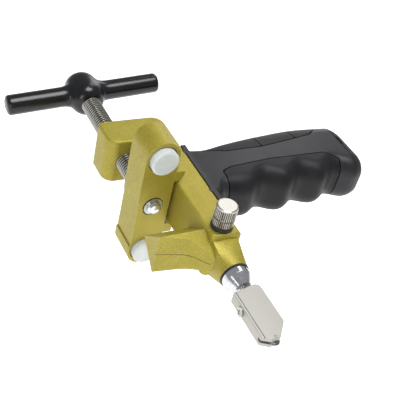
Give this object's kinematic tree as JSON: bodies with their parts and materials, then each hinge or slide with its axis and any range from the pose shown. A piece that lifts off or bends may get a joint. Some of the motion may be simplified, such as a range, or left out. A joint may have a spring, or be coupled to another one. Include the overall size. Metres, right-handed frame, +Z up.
{
  "type": "glass cutter",
  "caption": "Hand-held glass cutter with a pistol grip, swivelling oiled cutting head and a screw-driven press with two pads that breaks glass over a ridge.",
  "frame": {"origin": "on the lead screw's axis, in the front face of the press plate, where the glass sits", "axes": "+Y along the lead screw towards its T-handle, -Y towards the cutting wheel; +X towards the end of the pistol grip; +Z up, on the oil cap's side"},
  "size_m": [0.16, 0.1929, 0.0724],
  "materials": {
    "gold_paint": "gold sandy metallic paint on a casting",
    "grip_plastic": "satin black moulded plastic",
    "grip_rubber": "soft black moulded rubber",
    "plated_steel": "zinc-plated steel",
    "screw_steel": "rolled steel thread",
    "bright_chrome": "bright chrome plate",
    "satin_nickel": "satin nickel plate",
    "knurled_nickel": "nickel plate over a fine knurl",
    "wheel_steel": "ground hard alloy",
    "nylon": "white nylon, slightly milky",
    "seal_rubber": "black rubber",
    "wick_felt": "felt cord",
    "handle_black": "gloss black coating on steel"
  },
  "bodies": {
    "frame": {"frame_casting": "gold_paint", "handle_body": "grip_plastic", "finger_grip": "grip_rubber", "back_grip_1": "grip_rubber", "back_grip_2": "grip_rubber", "back_grip_3": "grip_rubber", "grip_bolt": "plated_steel", "bolt_washer": "plated_steel", "nozzle": "bright_chrome", "nozzle_seal": "seal_rubber", "oil_wick": "wick_felt"},
    "press": {"press_plate": "gold_paint", "upper_pad": "nylon", "lower_pad": "nylon", "thrust_washer": "plated_steel"},
    "screw": {"lead_screw": "screw_steel", "t_hub": "handle_black", "hub_pin": "handle_black", "t_bar": "handle_black", "retaining_screw": "bright_chrome", "retaining_washer": "plated_steel"},
    "head": {"cutter_head": "satin_nickel", "wheel_axle": "plated_steel", "head_set_screw": "plated_steel"},
    "wheel": {"cutting_wheel": "wheel_steel"},
    "oil_cap_ring": {"oil_cap_seal": "seal_rubber"},
    "oil_cap": {"oil_cap": "knurled_nickel"},
    "end_cap": {"end_cap": "grip_plastic"}
  },
  "joints": [
    {"name": "press_travel", "type": "slide", "parent": "frame", "child": "press", "axis": [0, -1, 0], "range_m": [-0.0155, 0.014]},
    {"name": "screw_turn", "type": "hinge", "parent": "press", "child": "screw", "pos_m": [0, 0, 0], "axis": [0, -1, 0], "range_deg": [-3700, 3340]},
    {"name": "head_swivel", "type": "hinge", "parent": "frame", "child": "head", "pos_m": [0.017, -0.065, 0], "axis": [0, 1, 0], "range_deg": [-12.5, 12.5]},
    {"name": "wheel_spin", "type": "hinge", "parent": "head", "child": "wheel", "pos_m": [0.0156, -0.0858, 0], "axis": [0, 0, 1], "continuous": true},
    {"name": "oil_cap_lift", "type": "slide", "parent": "frame", "child": "oil_cap_ring", "axis": [0, 0, 1], "range_m": [0, 0.01]},
    {"name": "oil_cap_turn", "type": "hinge", "parent": "oil_cap_ring", "child": "oil_cap", "pos_m": [0.017, -0.031, 0.012], "axis": [0, 0, 1], "range_deg": [0, 3600]},
    {"name": "end_cap_pull", "type": "slide", "parent": "frame", "child": "end_cap", "axis": [1, 0, 0], "range_m": [0, 0.012]}
  ],
  "couplings": [
    {"joint": "press_travel", "follows": "screw_turn", "m_per_rad": 0.00023873}
  ]
}
